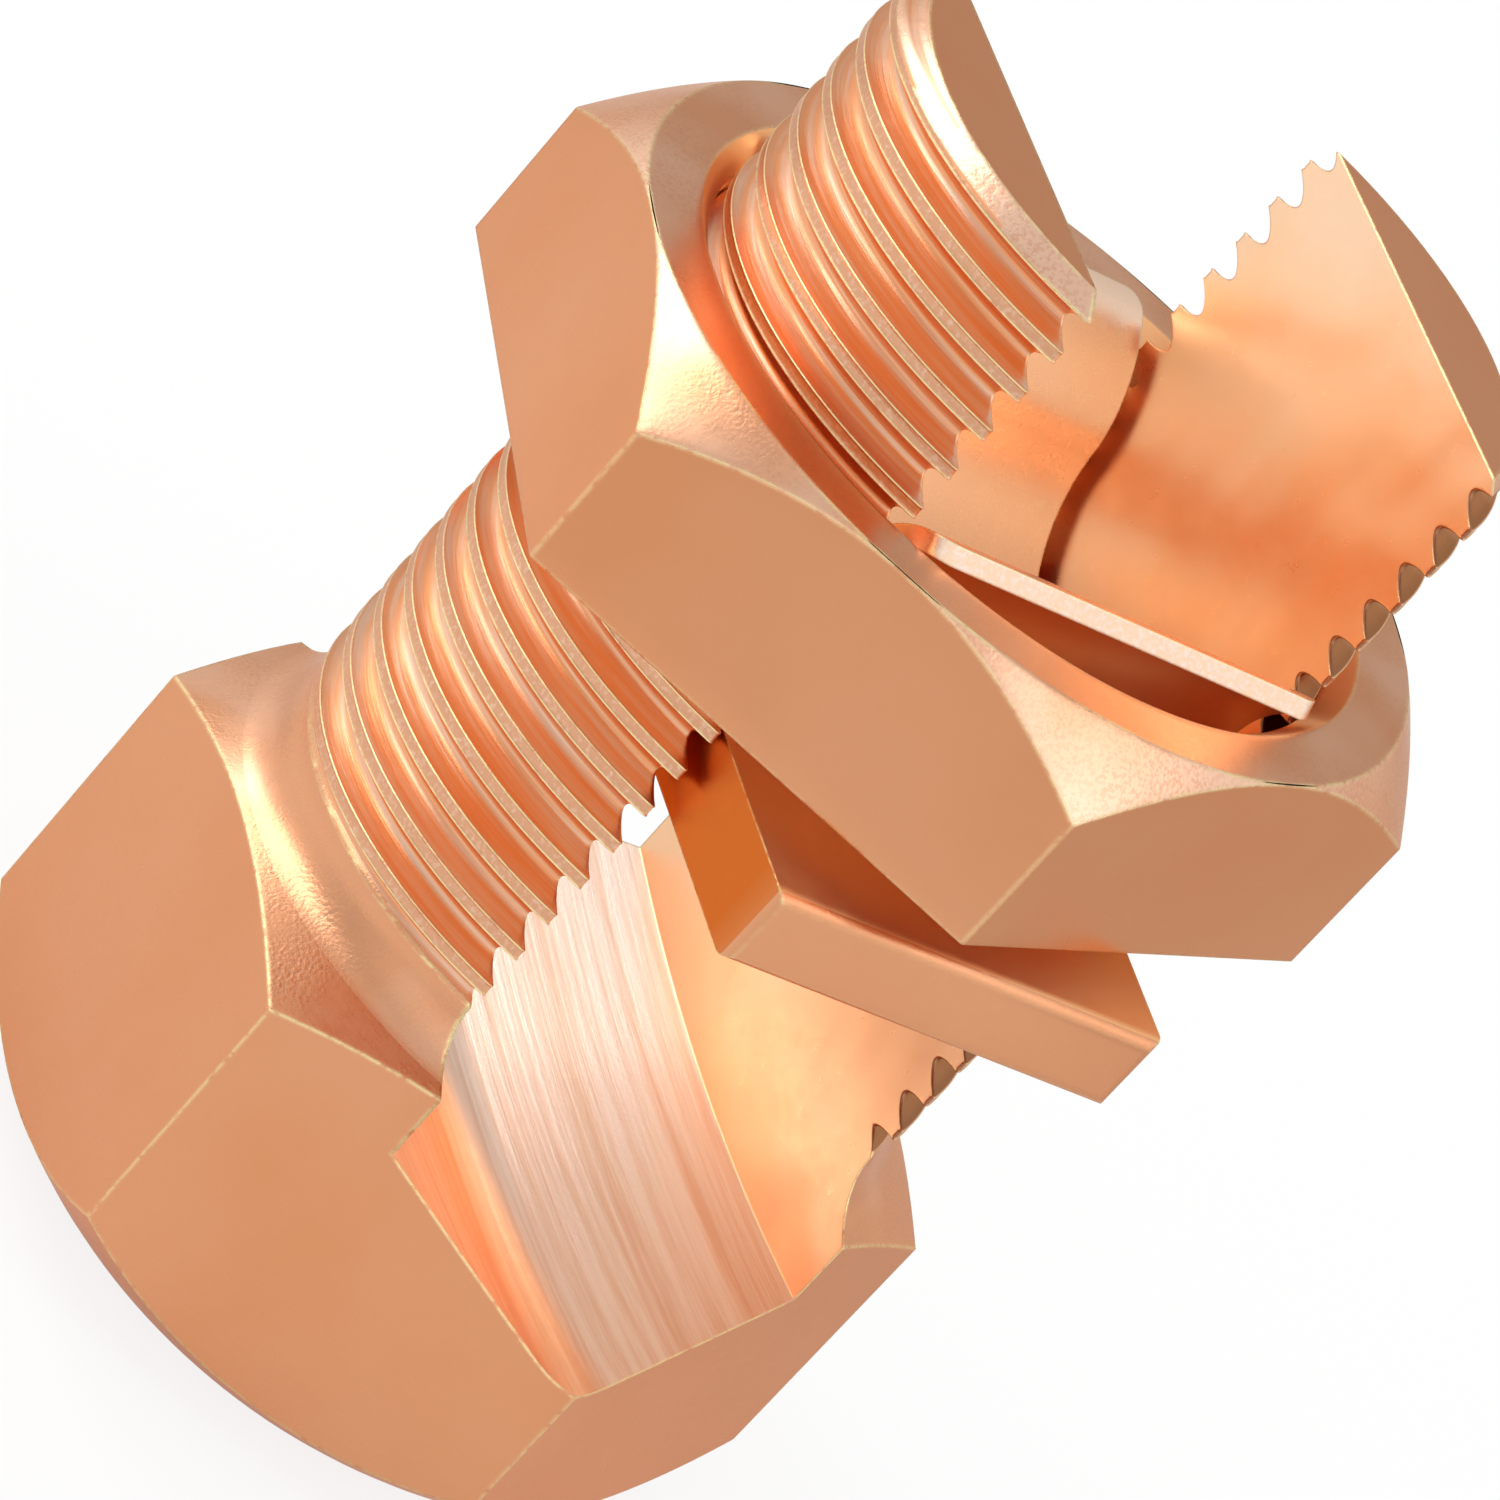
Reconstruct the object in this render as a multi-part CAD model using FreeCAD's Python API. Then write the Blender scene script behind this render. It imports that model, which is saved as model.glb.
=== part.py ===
import FreeCAD, Part
import math
import os

from FreeCAD import Vector

# Split bolt connector: a slotted hexagon-head bolt, a hexagon nut and a captive pressure bar.
# Frame: the axis of the bolt is +Z, the slot runs along Y, the head stands on z = 0. Millimetres.

# Bolt
THREAD_D = 21.85          # over the thread crests
PITCH = 1.5
THREAD_DEPTH = 0.72
CREST_FLAT = 0.42
ROOT_FLAT = 0.42
CREST_BELOW_TIP = 0.4     # highest crest, at the front edge of the left leg
BOLT_LENGTH = 43.5
TIP_CHAMFER = 0.6
NECK_RELIEF = 0.175       # the plain neck lies this far under the crests
NECK_LENGTH = 2.22        # from the shoulder of the head to the first thread
NECK_FLARE = 1.0          # the neck flares by this much into the shoulder
HEAD_LEDGE = 1.075        # from the crests to the flats of the head
HEAD_TOP = 13.4           # shoulder at the foot of the neck
HEAD_CORNER_DROP = 1.35   # the six corners end this far under the shoulder
BASE_INSET = 2.2          # from the flats of the head to the flat that it stands on
BASE_ROUND_H = 3.45       # height of the ball-turned lower corners

# Slot for the conductors
SLOT_W = 14.8
SEAT_LOW = 6.68           # lowest line of the seat, at mid length
SEAT_RISE = 3.6           # from the low line up to the foot of each leg
SEAT_CUTTER_R = 80.0      # the seat is milled by a V-edged disc of this radius
SEAT_NOSE_R = 3.0

# Nut
NUT_WALL = 2.515          # least wall, from the bore to a flat
NUT_H = 7.0
TIPS_ABOVE_NUT = 8.3      # the legs stand this far out of the nut in the position shown
NUT_BEARING = -129.0      # direction in which one flat faces
NUT_CHAMFER_H = 2.17      # drop of the top chamfer at the corners
THREAD_CLEAR = 0.06       # radial running clearance over the crests
SINK = 0.665              # countersink that the lips of the bar ride over, 45 degrees
UNDER_SINK = 0.5

# Pressure bar
BAR_SIDE_CLEAR = 0.4      # from each side of the bar to the leg
FOOT_PAST_HEAD = 0.045    # the foot ends just past the corners of the head
FOOT_T = 2.75
FOOT_GAP = 1.6            # from the top of the foot to the underside of the nut
FOOT_ROUND = 0.5
WALL_CLEAR = 1.02         # from the corners of the upright walls to the bore of the nut
WALL_T = 1.35
TROUGH_FLOOR = 3.2        # flat length of the trough's floor
TROUGH_RAISE = 1.0        # floor of the trough above the top of the foot
TROUGH_BOW = 1.08
FLARE_DROP = 2.85         # the walls start to flare this far under the top of the nut
FLARE_BOW = 0.6
LIP_CLEAR = 0.05          # from the corners of the lips to the rim of the countersink
LIP_GAP = 0.05            # from the lips to the top of the nut
LIP_T = 0.55
LIP_BEVEL = 0.25
LIP_ROUND = 0.7

OVER = 0.2                # how far blanks and cutters pass the faces that they trim
SWEEP_OVER = 14.0         # degrees by which each groove runs past the edges of its leg

# Derived sizes
R = THREAD_D / 2
ROOT_R = R - THREAD_DEPTH
NECK_R = R - NECK_RELIEF
GROOVE_HALF = (PITCH - CREST_FLAT) / 2
HEAD_AF = THREAD_D + 2 * HEAD_LEDGE
HALF_SLOT = SLOT_W / 2
LEG_ANGLE = math.degrees(math.acos(HALF_SLOT / R))
BORE_R = R + THREAD_CLEAR
SINK_R = BORE_R + SINK
NUT_AF = 2 * (BORE_R + NUT_WALL)
NUT_TOP = BOLT_LENGTH - TIPS_ABOVE_NUT
NUT_Z = NUT_TOP - NUT_H
FOOT_TOP = NUT_Z - FOOT_GAP
HALF_BAR = HALF_SLOT - BAR_SIDE_CLEAR


def v(x, y, z):
    return Vector(x, y, z)


def wire(points):
    """Closed polyline through the points."""
    return Part.makePolygon(points + [points[0]])


def line(a, b):
    return Part.LineSegment(a, b).toShape()


def bowed(a, b, bow, normal):
    """Arc from a to b that stands out by bow, to the left of the way as seen against normal."""
    side = normal.cross(b - a)
    side.normalize()
    return Part.Arc(a, (a + b) * 0.5 + side * bow, b).toShape()


def turned(edges):
    """Solid of revolution about the axis of the bolt."""
    return Part.Face(Part.Wire(edges)).revolve(v(0, 0, 0), v(0, 0, 1), 360)


def hexagon(across_flats, z, height, bearing):
    """Hexagonal prism with one of its flats facing the bearing, in degrees."""
    corner = across_flats / math.sqrt(3)
    points = []
    for i in range(6):
        a = math.radians(bearing + 30 + 60 * i)
        points.append(v(corner * math.cos(a), corner * math.sin(a), z))
    return Part.Face(wire(points)).extrude(v(0, 0, height))


def helix_cutter(profile, z_start, turns, bearing):
    """Groove cutter: a section of (radius, height) pairs swept up a right-hand helix."""
    spine = Part.makeHelix(PITCH, PITCH * turns, R)
    section = wire([v(r, 0, z) for r, z in profile])
    cutter = Part.Wire(spine.Edges).makePipeShell([section], True, True)
    cutter.rotate(v(0, 0, 0), v(0, 0, 1), bearing)
    cutter.translate(v(0, 0, z_start))
    return cutter


# Bolt blank: head, neck and threaded length in one revolve, cut to a hexagon
front = v(0, -1, 0)
base_r = HEAD_AF / 2 - BASE_INSET
corner_r = HEAD_AF / math.sqrt(3) + OVER
corner_top = HEAD_TOP - HEAD_CORNER_DROP
flare_r = NECK_R + NECK_FLARE
neck_z = HEAD_TOP + NECK_FLARE
thread_z = HEAD_TOP + NECK_LENGTH
ball_z = (corner_r ** 2 - base_r ** 2 + BASE_ROUND_H ** 2) / (2 * BASE_ROUND_H)
ball_r = math.hypot(base_r, ball_z)
profile = [
    v(0, 0, 0), v(base_r, 0, 0), v(corner_r, 0, BASE_ROUND_H), v(corner_r, 0, corner_top),
    v(flare_r, 0, HEAD_TOP), v(NECK_R, 0, neck_z), v(NECK_R, 0, thread_z - NECK_RELIEF),
    v(R, 0, thread_z), v(R, 0, BOLT_LENGTH - TIP_CHAMFER), v(R - TIP_CHAMFER, 0, BOLT_LENGTH),
    v(0, 0, BOLT_LENGTH),
]
edges = [line(a, b) for a, b in zip(profile, profile[1:] + profile[:1])]
base_chord = (profile[2] - profile[1]).Length
base_bow = ball_r - math.sqrt(ball_r ** 2 - base_chord ** 2 / 4)
edges[1] = bowed(profile[1], profile[2], -base_bow, front)
bolt = turned(edges).common(hexagon(HEAD_AF, -OVER, BOLT_LENGTH + 2 * OVER, 0))

# Slot and V seat, milled from the tip by one disc that leaves the two legs
slope = math.atan2(SEAT_RISE, HALF_SLOT)
nose_x = SEAT_NOSE_R * math.sin(slope)
nose_z = SEAT_LOW + nose_x * math.tan(slope)
nose_bow = SEAT_NOSE_R * (1 - math.cos(slope))
wall_foot = SEAT_LOW + SEAT_RISE
axis_z = SEAT_LOW + SEAT_CUTTER_R
disc_profile = [
    v(-HALF_SLOT, 0, axis_z), v(-HALF_SLOT, 0, wall_foot), v(-nose_x, 0, nose_z),
    v(nose_x, 0, nose_z), v(HALF_SLOT, 0, wall_foot), v(HALF_SLOT, 0, axis_z),
]
disc_edges = [line(a, b) for a, b in zip(disc_profile, disc_profile[1:] + disc_profile[:1])]
disc_edges[2] = bowed(disc_profile[2], disc_profile[3], -nose_bow, front)
disc = Part.Face(Part.Wire(disc_edges)).revolve(v(0, 0, axis_z), v(1, 0, 0), 360)
bolt = bolt.cut(disc)

# Thread, the feature that takes the most skill: one right-hand groove, broken by the slot,
# so that the turns on one leg carry on from those on the other
groove = [
    (R + OVER, -GROOVE_HALF), (R, -GROOVE_HALF), (ROOT_R, -ROOT_FLAT / 2),
    (ROOT_R, ROOT_FLAT / 2), (R, GROOVE_HALF), (R + OVER, GROOVE_HALF),
]
half_sweep = LEG_ANGLE + SWEEP_OVER
half_turns = half_sweep / 360
cutters = []
for leg in (180, 360):
    crest = BOLT_LENGTH - CREST_BELOW_TIP + PITCH * (leg - 180 - LEG_ANGLE) / 360
    root = crest - PITCH / 2
    while root + GROOVE_HALF > BOLT_LENGTH - TIP_CHAMFER:
        root -= PITCH
    while root > thread_z:
        low = root - PITCH * half_turns
        cutters.append(helix_cutter(groove, low, 2 * half_turns, leg - half_sweep))
        root -= PITCH
bolt = bolt.cut(cutters)

# Nut: hexagon, chamfered on top only, with a countersink for the lips of the bar
nut_corner = NUT_AF / math.sqrt(3)
blank_r = nut_corner + OVER
chamfer_drop = NUT_CHAMFER_H * (blank_r - NUT_AF / 2) / (nut_corner - NUT_AF / 2)
nut_profile = [
    v(0, 0, NUT_Z), v(blank_r, 0, NUT_Z), v(blank_r, 0, NUT_TOP - chamfer_drop),
    v(NUT_AF / 2, 0, NUT_TOP), v(0, 0, NUT_TOP),
]
nut = turned([line(a, b) for a, b in zip(nut_profile, nut_profile[1:] + nut_profile[:1])])
nut = nut.common(hexagon(NUT_AF, NUT_Z - OVER, NUT_H + 2 * OVER, NUT_BEARING))
under_r = BORE_R + UNDER_SINK
bore_profile = [
    v(0, 0, NUT_Z - OVER), v(under_r, 0, NUT_Z - OVER), v(under_r, 0, NUT_Z),
    v(BORE_R, 0, NUT_Z + UNDER_SINK), v(BORE_R, 0, NUT_TOP - SINK),
    v(SINK_R, 0, NUT_TOP), v(SINK_R, 0, NUT_TOP + OVER), v(0, 0, NUT_TOP + OVER),
]
nut = nut.cut(turned([line(a, b) for a, b in
                      zip(bore_profile, bore_profile[1:] + bore_profile[:1])]))

# Pressure bar: one section along Y, drawn through the width of the slot. The foot bears on
# the conductors, the walls rise through the bore and turn out as lips over the nut.
half_foot = HEAD_AF / math.sqrt(3) + FOOT_PAST_HEAD
foot_z = FOOT_TOP - FOOT_T
wall_out = math.sqrt((BORE_R - WALL_CLEAR) ** 2 - HALF_BAR ** 2)
wall_in = wall_out - WALL_T
lip_out = math.sqrt((SINK_R - LIP_CLEAR) ** 2 - HALF_BAR ** 2)
lip_low = NUT_TOP + LIP_GAP
lip_top = lip_low + LIP_T
flare_z = NUT_TOP - FLARE_DROP
trough_z = FOOT_TOP + TROUGH_RAISE


def side(s):
    """Outline of the right (s = 1) or left (s = -1) half, from the foot round to the trough."""
    points = [
        v(-HALF_BAR, 0, foot_z), v(-HALF_BAR, s * half_foot, foot_z),
        v(-HALF_BAR, s * half_foot, FOOT_TOP), v(-HALF_BAR, s * wall_out, FOOT_TOP),
        v(-HALF_BAR, s * wall_out, flare_z), v(-HALF_BAR, s * lip_out, lip_low),
        v(-HALF_BAR, s * (lip_out - LIP_BEVEL), lip_top), v(-HALF_BAR, s * wall_in, flare_z),
        v(-HALF_BAR, s * TROUGH_FLOOR / 2, trough_z), v(-HALF_BAR, 0, trough_z),
    ]
    outline = [line(a, b) for a, b in zip(points, points[1:])]
    outward = v(s, 0, 0)
    outline[4] = bowed(points[4], points[5], FLARE_BOW, outward)
    outline[6] = bowed(points[6], points[7], -FLARE_BOW, outward)
    outline[7] = bowed(points[7], points[8], TROUGH_BOW, outward)
    return outline


section = Part.Wire(Part.__sortEdges__(side(1) + side(-1)))
bar = Part.Face(section).extrude(v(2 * HALF_BAR, 0, 0))
foot_ends = [e for e in bar.Edges if abs(abs(e.CenterOfMass.y) - half_foot) < OVER / 20]
bar = bar.makeFillet(FOOT_ROUND, foot_ends)
lip_corners = []
for e in bar.Edges:
    c = e.CenterOfMass
    if c.z > lip_low and abs(c.y) > lip_out - LIP_BEVEL and abs(c.x) > HALF_BAR - OVER / 20:
        lip_corners.append(e)
bar = bar.makeFillet(LIP_ROUND, lip_corners)

os.makedirs("parts", exist_ok=True)
for name, shape in (("split_bolt", bolt), ("hex_nut", nut), ("pressure_bar", bar)):
    print(name, shape.isValid(), len(shape.Solids), round(shape.Volume, 1), shape.BoundBox)
    shape.exportStep("parts/" + name + ".step")
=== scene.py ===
"""Split bolt connector: its looks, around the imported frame.

The threaded legs, the nut and its thread are surfaces computed with numpy. The head and the
pressure bar are smooth copies of their solids. Sizes are in millimetres here and in metres in
the meshes.
"""
import math

import bmesh
import bpy
import numpy as np
from mathutils import Matrix, Vector


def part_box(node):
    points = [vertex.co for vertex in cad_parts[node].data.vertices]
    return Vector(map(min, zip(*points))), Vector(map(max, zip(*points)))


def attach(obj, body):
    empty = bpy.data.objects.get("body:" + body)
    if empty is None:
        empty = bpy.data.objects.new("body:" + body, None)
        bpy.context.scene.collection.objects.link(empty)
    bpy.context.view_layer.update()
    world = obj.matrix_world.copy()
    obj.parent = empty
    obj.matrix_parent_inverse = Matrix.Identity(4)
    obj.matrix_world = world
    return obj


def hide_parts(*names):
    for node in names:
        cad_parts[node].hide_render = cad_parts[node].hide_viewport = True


bl_info = {
    "name": "Split bolt connector",
    "version": (1, 0, 0),
    "blender": (4, 5, 0),
    "location": "3D View > Sidebar > Split bolt",
    "description": "Builds the copper split bolt connector around its packed frame",
    "category": "Add Mesh",
}

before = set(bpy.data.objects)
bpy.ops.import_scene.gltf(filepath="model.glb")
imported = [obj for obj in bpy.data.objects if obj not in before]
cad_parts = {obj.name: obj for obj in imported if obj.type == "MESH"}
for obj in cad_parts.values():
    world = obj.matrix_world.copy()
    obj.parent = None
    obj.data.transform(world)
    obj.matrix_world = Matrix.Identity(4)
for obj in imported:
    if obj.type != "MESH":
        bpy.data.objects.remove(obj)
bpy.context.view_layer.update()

MM = 0.001
HEX_CORNER = 0.1547          # 2 / sqrt(3) - 1: how far a hexagon's corner stands past its flats
COAT_IOR = 1.9
COAT_ROUGHNESS = 0.3
BEVEL_SAMPLES = 4
MIRROR_BOUNCES = 8
CAMERA_AT = (-0.12653, -0.15467, 0.11899)
CAMERA_RIGHT = (0.75959412, -0.24287497, 0.60334776)
CAMERA_DOWN = (0.31338946, -0.67619357, -0.66674531)
LAMPS = (
    # name, bearing and height in degrees, distance, width and depth in metres, brightness
    ("key_softbox", 128, 40, 0.5, 0.44, 0.22, 3.1),
    ("front_softbox", 302, 50, 0.5, 0.30, 0.28, 0.85),
)
nut_low, nut_high = (corner.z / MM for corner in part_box("hex_nut"))
bolt_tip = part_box("split_bolt")[1].z / MM


def size(label, value, note):
    """A length in millimetres."""
    return bpy.props.FloatProperty(name=label, description=note, default=value, min=0.0)


def tint(label, value, note):
    """A linear colour."""
    return bpy.props.FloatVectorProperty(name=label, description=note, subtype="COLOR",
                                         size=3, min=0.0, max=1.0, default=value)


class SplitBoltThread(bpy.types.PropertyGroup):
    """Sizes of the thread on the legs, in millimetres."""
    crest_d: size("Crest diameter", 21.85, "Over the crests")
    pitch: size("Pitch", 1.5, "From crest to crest")
    depth: size("Depth", 0.72, "From crest to root")
    crest_flat: size("Crest flat", 0.42, "Width of the flat crests")
    slot_w: size("Slot width", 14.8, "Between the legs")
    neck_d: size("Neck diameter", 21.5, "Plain neck under the thread")
    shoulder_z: size("Shoulder height", 13.4, "Foot of the neck")
    neck_flare: size("Neck flare", 1.0, "Width of the hollow at the foot of the neck")
    shoulder_slope: bpy.props.FloatProperty(
        name="Shoulder slope", default=32.6,
        description="Slope of the shoulder that the hollow runs into, in degrees")
    start_z: size("Thread start", 15.62, "Height at which the thread starts")
    tip_chamfer: size("Tip chamfer", 0.6, "Bevel round the tips")
    crest_drop: size("First crest", 0.4, "Highest crest under the tip, left leg's front edge")
    lip: size("Crest lips", 0.03, "Height of the rolled lips on both sides of the crest")
    end_round: size("Tooth ends", 0.13, "Rounding of the crests where the slot cuts them")
    end_width: size("Tooth end width", 0.26, "Length over which the tooth ends are rounded")


class SplitBoltNut(bpy.types.PropertyGroup):
    """Sizes of the nut, in millimetres."""
    across_flats: size("Across flats", 27.0, "Wrench size")
    bearing: bpy.props.FloatProperty(name="Bearing", default=-129.0,
                                     description="Direction of one flat, in degrees")
    chamfer_h: size("Chamfer drop", 2.17, "Drop of the top chamfer at the corners")
    bore_d: size("Bore", 21.97, "Plain bore that the thread stands in")
    sink: size("Countersink", 0.665, "Depth of the countersink")
    under_sink: size("Lower countersink", 0.5, "Depth of the countersink underneath")
    edge: size("Edge", 0.07, "Rounding of the edges")
    corner: size("Corner", 0.16, "Rounding of the six corners")


class SplitBoltCopper(bpy.types.PropertyGroup):
    """Colours of the copper."""
    satin: tint("Satin copper", (0.77, 0.33, 0.145), "Flat faces of the head, nut and foot")
    warm: tint("Warm copper", (0.74, 0.285, 0.105), "Redder patches")
    turned: tint("Turned copper", (0.86, 0.53, 0.36), "Chamfers, shoulder and neck")
    dull: tint("Dull copper", (0.70, 0.32, 0.17), "Specks between the turned marks")
    # Painted reflection: a deeper, darker copper standing in for the copper legs that the
    # foot's sides mirror.
    painted_copper_reflection: tint("Painted copper reflection", (0.66, 0.16, 0.03), "Sides of the foot that face the legs")
    # Painted glow: a copper brighter than the satin, standing in for the light that bounces
    # between the copper walls of the bore, trough and foot.
    painted_bounce_glow: tint("Painted bounce glow", (1.0, 0.57, 0.28), "Trough and top of the foot")
    # Painted dark reflection: a darker copper laid on the tooth ends at the right leg's front
    # edge, standing in for the shadowed floor that they mirror.
    painted_dark_reflection: tint("Painted dark reflection", (0.42, 0.20, 0.11), "Tooth ends at the right leg's front edge")
    rolled: tint("Rolled copper", (0.89, 0.35, 0.12), "Hollows of the thread")
    crest: tint("Crests", (0.74, 0.36, 0.18), "Flat grainy crests of the thread")
    polished: tint("Polished copper", (1.0, 0.71, 0.49), "Walls of the slot and the bar")
    clouds: tint("Clouded copper", (1.0, 0.65, 0.40), "Clouds on the polished walls")
    milled: tint("Milled copper", (1.0, 0.80, 0.68), "Brightest streaks of the milled seat")
    edge: tint("Rubbed edges", (1.0, 0.83, 0.40), "Bright rubbed edges")
    grazing: tint("Grazing copper", (0.98, 0.66, 0.46), "Copper seen at a flat angle")


class SplitBoltStage(bpy.types.PropertyGroup):
    """Camera, floor and lights."""
    lens: bpy.props.FloatProperty(name="Lens", description="Focal length in millimetres",
                                  default=185.76, min=1.0)
    floor: tint("Floor", (0.93, 0.93, 0.93), "Pale floor")
    # Painted shade: a darker floor colour to the right of the part, which the metal mirrors and
    # which is lit.
    floor_painted_shade: tint("Floor, painted shade", (0.68, 0.68, 0.68), "Pale floor to the right of the part")
    white: tint("Background", (1.0, 1.0, 1.0), "White that the camera sees")
    light: tint("Room light", (0.80, 0.80, 0.80), "Even light of the room")
    room: tint("Room", (0.64, 0.64, 0.64), "Pale room that the metal mirrors")
    room_back: tint("Room, right", (0.56, 0.56, 0.56), "Same, to the right behind the part")


def grid_faces(rows, cols, closed):
    """Quads between neighbouring rows and columns of a grid; closed joins last to first."""
    i, j = np.meshgrid(np.arange(rows - 1), np.arange(cols if closed else cols - 1),
                       indexing="ij")
    a = i * cols + j
    b = i * cols + (j + 1) % cols
    return np.stack([a, b, b + cols, a + cols], -1).reshape(-1, 4)


def new_piece(name, points, faces, body, finishes, rule, smooth_deg=40.0):
    """Mesh object from points in millimetres, smooth but for edges sharper than smooth_deg."""
    mesh = bpy.data.meshes.new(name)
    mesh.from_pydata((np.asarray(points, float) * MM).tolist(), [], [list(f) for f in faces])
    bm = bmesh.new()
    bm.from_mesh(mesh)
    bmesh.ops.remove_doubles(bm, verts=bm.verts, dist=1e-7)
    bmesh.ops.dissolve_degenerate(bm, edges=bm.edges, dist=1e-8)
    bmesh.ops.recalc_face_normals(bm, faces=bm.faces)
    if bm.calc_volume(signed=True) < 0:
        bmesh.ops.reverse_faces(bm, faces=bm.faces)
    bm.to_mesh(mesh)
    bm.free()
    return dress(bpy.data.objects.new(name, mesh), body, finishes, rule, smooth_deg)


def smooth_copy(node, name, body, finishes, rule, smooth_deg, cut_z=None):
    """Merged copy of a node, cut off above cut_z (in millimetres) where that is given."""
    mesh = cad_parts[node].data.copy()
    mesh.name = name
    bm = bmesh.new()
    bm.from_mesh(mesh)
    bmesh.ops.remove_doubles(bm, verts=bm.verts, dist=1e-6)
    if cut_z is not None:
        bmesh.ops.bisect_plane(bm, geom=bm.verts[:] + bm.edges[:] + bm.faces[:], dist=2e-6,
                               plane_co=(0, 0, cut_z * MM), plane_no=(0, 0, 1),
                               clear_outer=True)
    bm.to_mesh(mesh)
    bm.free()
    mesh.update()
    for layer in [a.name for a in mesh.attributes if a.name == "custom_normal"]:
        mesh.attributes.remove(mesh.attributes[layer])
    return dress(bpy.data.objects.new(name, mesh), body, finishes, rule, smooth_deg)


def dress(obj, body, finishes, rule, smooth_deg):
    """Shades, links, rides and slots a piece, and gives each face its finish.

    The rule takes the faces' middles in millimetres and their normals, and returns the place
    in the list of finishes of each face.
    """
    mesh = obj.data
    count = len(mesh.polygons)
    mesh.polygons.foreach_set("use_smooth", np.ones(count, bool))
    mesh.set_sharp_from_angle(angle=math.radians(smooth_deg))
    middle, normal = np.empty(count * 3), np.empty(count * 3)
    mesh.polygons.foreach_get("center", middle)
    mesh.polygons.foreach_get("normal", normal)
    mesh.materials.clear()
    for finish in finishes:
        mesh.materials.append(finish)
    places = rule(middle.reshape(-1, 3) / MM, normal.reshape(-1, 3)).astype(np.int32)
    mesh.polygons.foreach_set("material_index", places)
    bpy.context.scene.collection.objects.link(obj)
    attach(obj, body)
    return obj


def thread_profile(t):
    """Half section of one turn: distance from the crest's middle and radius, to mid-root.

    The crest is flat between two low rolled lips, and the root is one round hollow: depth *
    sin(90 degrees * share of the way) to the power 0.8.
    """
    half_crest, top, half = t.crest_flat / 2, t.crest_d / 2, t.pitch / 2
    crest = np.array([0.0, 0.55, 0.66, 0.74, 0.82, 0.90, 0.97, 1.03, 1.08]) * half_crest
    drop = np.array([1.0, 1.0, 0.85, 0.4, 0.08, 0.0, 0.25, 0.9, 1.9]) * t.lip
    way = np.linspace(0, 1, 13)[1:]
    start = crest[-1]
    hollow = drop[-1] + (t.depth - drop[-1]) * np.sin(np.pi / 2 * way) ** 0.8
    return (np.concatenate([crest, start + (half - start) * way]),
            top - np.concatenate([drop, hollow]))


def leg_surface(t, middle):
    """One leg of the bolt as a closed grid.

    Rows follow the right-hand helix: height = crest height at the bearing + distance along
    the section. Across a row the bearing runs over the arc that the slot leaves,
    acos(half slot / radius) to each side of the middle, and then back along the flat. At both
    ends of the arc the crests are rounded by end_round * (1 - sqrt(1 - share squared)). The
    foot of the neck is a hollow round that touches the slope of the shoulder.
    """
    r_top, half_slot, tip = t.crest_d / 2, t.slot_w / 2, bolt_tip
    edge = math.degrees(math.acos(half_slot / r_top))
    s, r = thread_profile(t)
    s = np.concatenate([-s[:0:-1], s[:-1]])
    r = np.concatenate([r[:0:-1], r[:-1]])
    turns = int((tip - t.shoulder_z) / t.pitch) + 3
    k = np.repeat(np.arange(turns), len(s))
    rise = np.tile(s, turns) - t.pitch * (turns - 1 - k)
    radius = np.tile(r, turns)
    order = np.argsort(rise)
    rise, radius = rise[order], radius[order]
    end = t.end_width / (math.radians(edge) * r_top)
    inner = np.linspace(-1, 1, 53) * (1 - end)
    near = 1 - end * np.array([0.75, 0.52, 0.32, 0.16, 0.05, 0.0])
    across = np.concatenate([-near[::-1], inner, near])
    share = np.clip((np.abs(across) - (1 - end)) / end, 0, 1)
    worn = t.end_round * (1 - np.sqrt(1 - share ** 2))
    neck = t.neck_d / 2
    slope = math.radians(t.shoulder_slope)
    round_r = t.neck_flare / (math.tan(math.pi / 4 - slope / 2) * math.cos(slope))
    round_z = t.shoulder_z + round_r * math.cos(slope)
    run_in_from, run_in = t.start_z - 0.35, 0.5
    rr = np.repeat(radius[:, None], len(across), 1)
    # the bearing depends on the radius and the radius on the height: five rounds settle them
    for _ in range(5):
        reach = np.degrees(np.arccos(np.clip(half_slot / rr, -1, 1)))
        bearing = middle + across[None, :] * reach
        crest = tip - t.crest_drop + t.pitch * (bearing - 180 - edge) / 360 + t.pitch
        zz = np.clip(crest + rise[:, None], t.shoulder_z, tip)
        fade = np.clip((zz - run_in_from) / run_in, 0, 1)
        body = neck + (radius[:, None] - neck) * fade
        flare = round_r - np.sqrt(round_r ** 2 - np.clip(round_z - zz, 0, round_r) ** 2)
        bevel = r_top - t.tip_chamfer + (tip - zz)
        rr = np.minimum(body - worn * fade + flare, bevel)
    x = rr * np.cos(np.radians(bearing))
    y = rr * np.sin(np.radians(bearing))
    back = np.array([[0.004, 0.02, 0.08, 0.22, 0.4, 0.6, 0.78, 0.92, 0.98, 0.996]])

    def along(c):
        return c[:, -1:] * (1 - back) + c[:, :1] * back

    pts = np.stack([np.concatenate([c, along(c)], 1) for c in (x, y, zz)], -1)
    rows, cols = pts.shape[:2]
    keep = np.flatnonzero((zz.max(1) > t.shoulder_z + 1e-6) & (zz.min(1) < tip - 1e-6))
    pts = pts[max(keep[0] - 1, 0):min(keep[-1] + 2, rows)]
    rows = len(pts)
    faces = grid_faces(rows, cols, True).tolist()
    faces.append(list(range((rows - 1) * cols, rows * cols)))
    return pts.reshape(-1, 3), faces


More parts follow.
